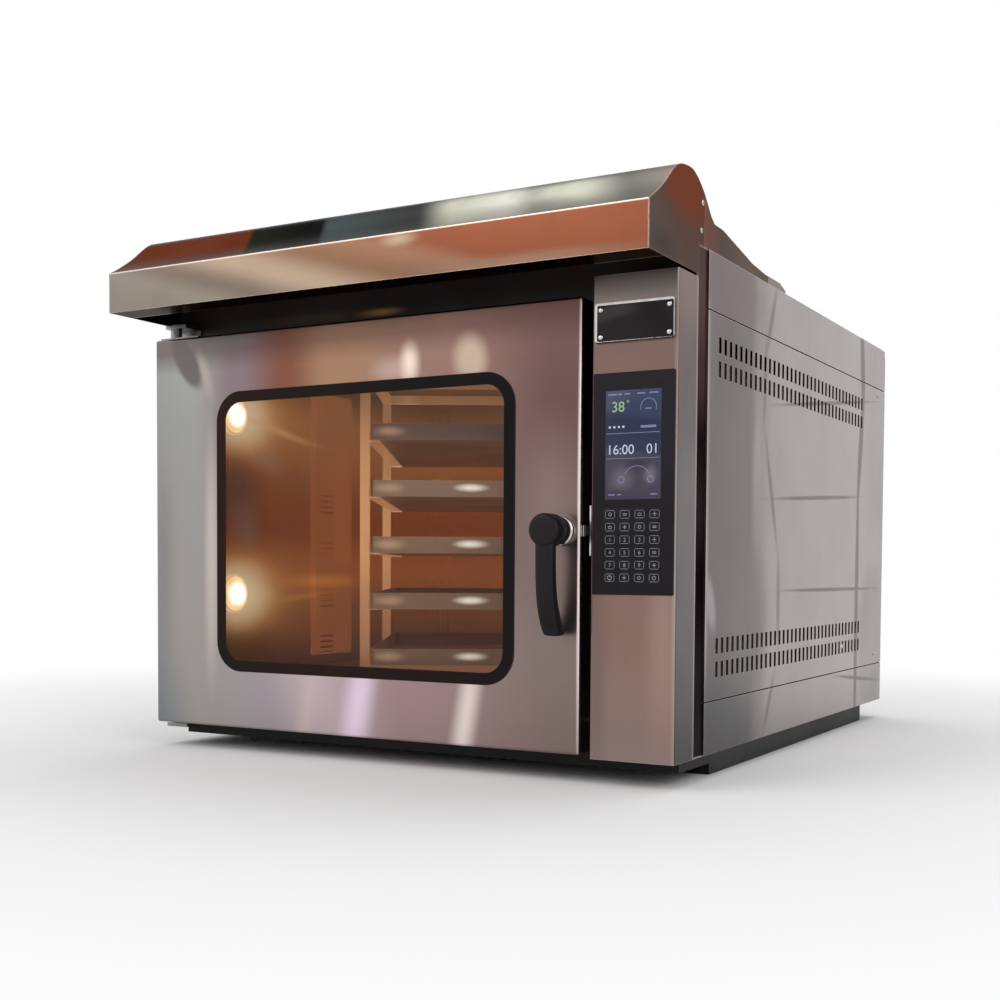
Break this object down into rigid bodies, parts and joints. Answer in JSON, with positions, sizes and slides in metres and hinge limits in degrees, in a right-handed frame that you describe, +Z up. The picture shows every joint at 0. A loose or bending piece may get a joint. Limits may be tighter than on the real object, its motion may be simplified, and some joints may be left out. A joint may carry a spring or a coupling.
{
  "type": "rotating rack oven",
  "caption": "Countertop convection oven with a turning tray rack, side-hung glass door with lever, control column with screen and keypad, and a curved steam hood.",
  "frame": {"origin": "centre of the footprint box, on the floor", "axes": "+Z up, the door faces -Y, the control column is at +X"},
  "size_m": [0.9786, 1.3054, 0.8769],
  "materials": {
    "brushed_stainless": "brushed, satin",
    "liner_stainless": "fine satin",
    "black_steel": "black, semi-gloss",
    "zinc_steel": "zinc plated",
    "chrome": "polished",
    "rack_stainless": "satin tube",
    "tray_aluminium": "satin sheet",
    "window_black": "gloss black",
    "black_plastic": "matt moulded",
    "black_glass": "gloss black",
    "display_glass": "lit screen",
    "keypad_film": "satin film",
    "clear_glass": "clear",
    "silicone": "matt",
    "brass": "satin",
    "heater_alloy": "dull oxide",
    "mineral_wool": "fibre",
    "motor_paint": "satin",
    "gear_steel": "machined",
    "drain_steel": "satin",
    "gland_plastic": "matt"
  },
  "bodies": {
    "casing": {"base_frame": "black_steel", "bottom_pan": "zinc_steel", "side_left": "brushed_stainless", "side_right_upper": "brushed_stainless", "side_right_middle": "brushed_stainless", "side_right_lower": "brushed_stainless", "corner_posts": "brushed_stainless", "rear_cover": "brushed_stainless", "top_cover": "brushed_stainless", "top_fairing": "brushed_stainless", "hood_skin": "brushed_stainless", "hood_ends": "brushed_stainless", "hood_filter": "liner_stainless", "casing_screws": "chrome", "control_column": "brushed_stainless", "nameplate": "black_glass", "control_glass": "black_glass", "display": "display_glass", "keypad": "keypad_film", "keeper_plate": "chrome", "door_switch": "brass", "front_frame": "black_steel", "door_gasket": "silicone", "hinge_brackets": "zinc_steel", "liner_walls": "liner_stainless", "liner_floor": "liner_stainless", "liner_ceiling": "liner_stainless", "liner_rear": "liner_stainless", "fan_baffle": "liner_stainless", "air_duct": "liner_stainless", "lamps": "clear_glass", "heater_rings": "heater_alloy", "insulation": "mineral_wool", "fan_motor": "motor_paint", "gearmotor": "motor_paint", "rack_bearings": "zinc_steel", "flue_collar": "liner_stainless", "water_inlet": "brass", "drain_pipe": "drain_steel", "cable_gland": "gland_plastic"},
    "door": {"door_skin": "brushed_stainless", "door_back": "liner_stainless", "window_frame": "window_black", "outer_glass": "clear_glass", "inner_glass": "clear_glass", "hinge_plates": "zinc_steel", "handle_boss": "chrome"},
    "handle": {"handle_lever": "black_plastic", "handle_spindle": "chrome"},
    "rack": {"rack_frame": "rack_stainless", "rack_runners": "rack_stainless", "rack_shaft": "chrome", "rack_gear": "gear_steel", "tray_1": "tray_aluminium", "tray_2": "tray_aluminium", "tray_3": "tray_aluminium", "tray_4": "tray_aluminium", "tray_5": "tray_aluminium"},
    "drive_pinion": {"drive_pinion": "gear_steel"},
    "fan": {"fan_wheel": "zinc_steel"}
  },
  "joints": [
    {"name": "door_hinge", "type": "hinge", "parent": "casing", "child": "door", "pos_m": [-0.47396, -0.50721, 0], "axis": [0, 0, -1], "range_deg": [0, 115]},
    {"name": "handle_turn", "type": "hinge", "parent": "door", "child": "handle", "pos_m": [0.30895, -0.54721, 0.3685], "axis": [0, 1, 0], "range_deg": [0, 90]},
    {"name": "rack_spin", "type": "hinge", "parent": "casing", "child": "rack", "pos_m": [-0.065, -0.10725, 0], "axis": [0, 0, 1], "continuous": true},
    {"name": "pinion_spin", "type": "hinge", "parent": "casing", "child": "drive_pinion", "pos_m": [0.0475, -0.10725, 0], "axis": [0, 0, 1], "continuous": true},
    {"name": "fan_spin", "type": "hinge", "parent": "casing", "child": "fan", "pos_m": [-0.065, -0.54721, 0.398], "axis": [0, 1, 0], "continuous": true}
  ],
  "couplings": [
    {"joint": "pinion_spin", "follows": "rack_spin", "ratio": -4}
  ]
}
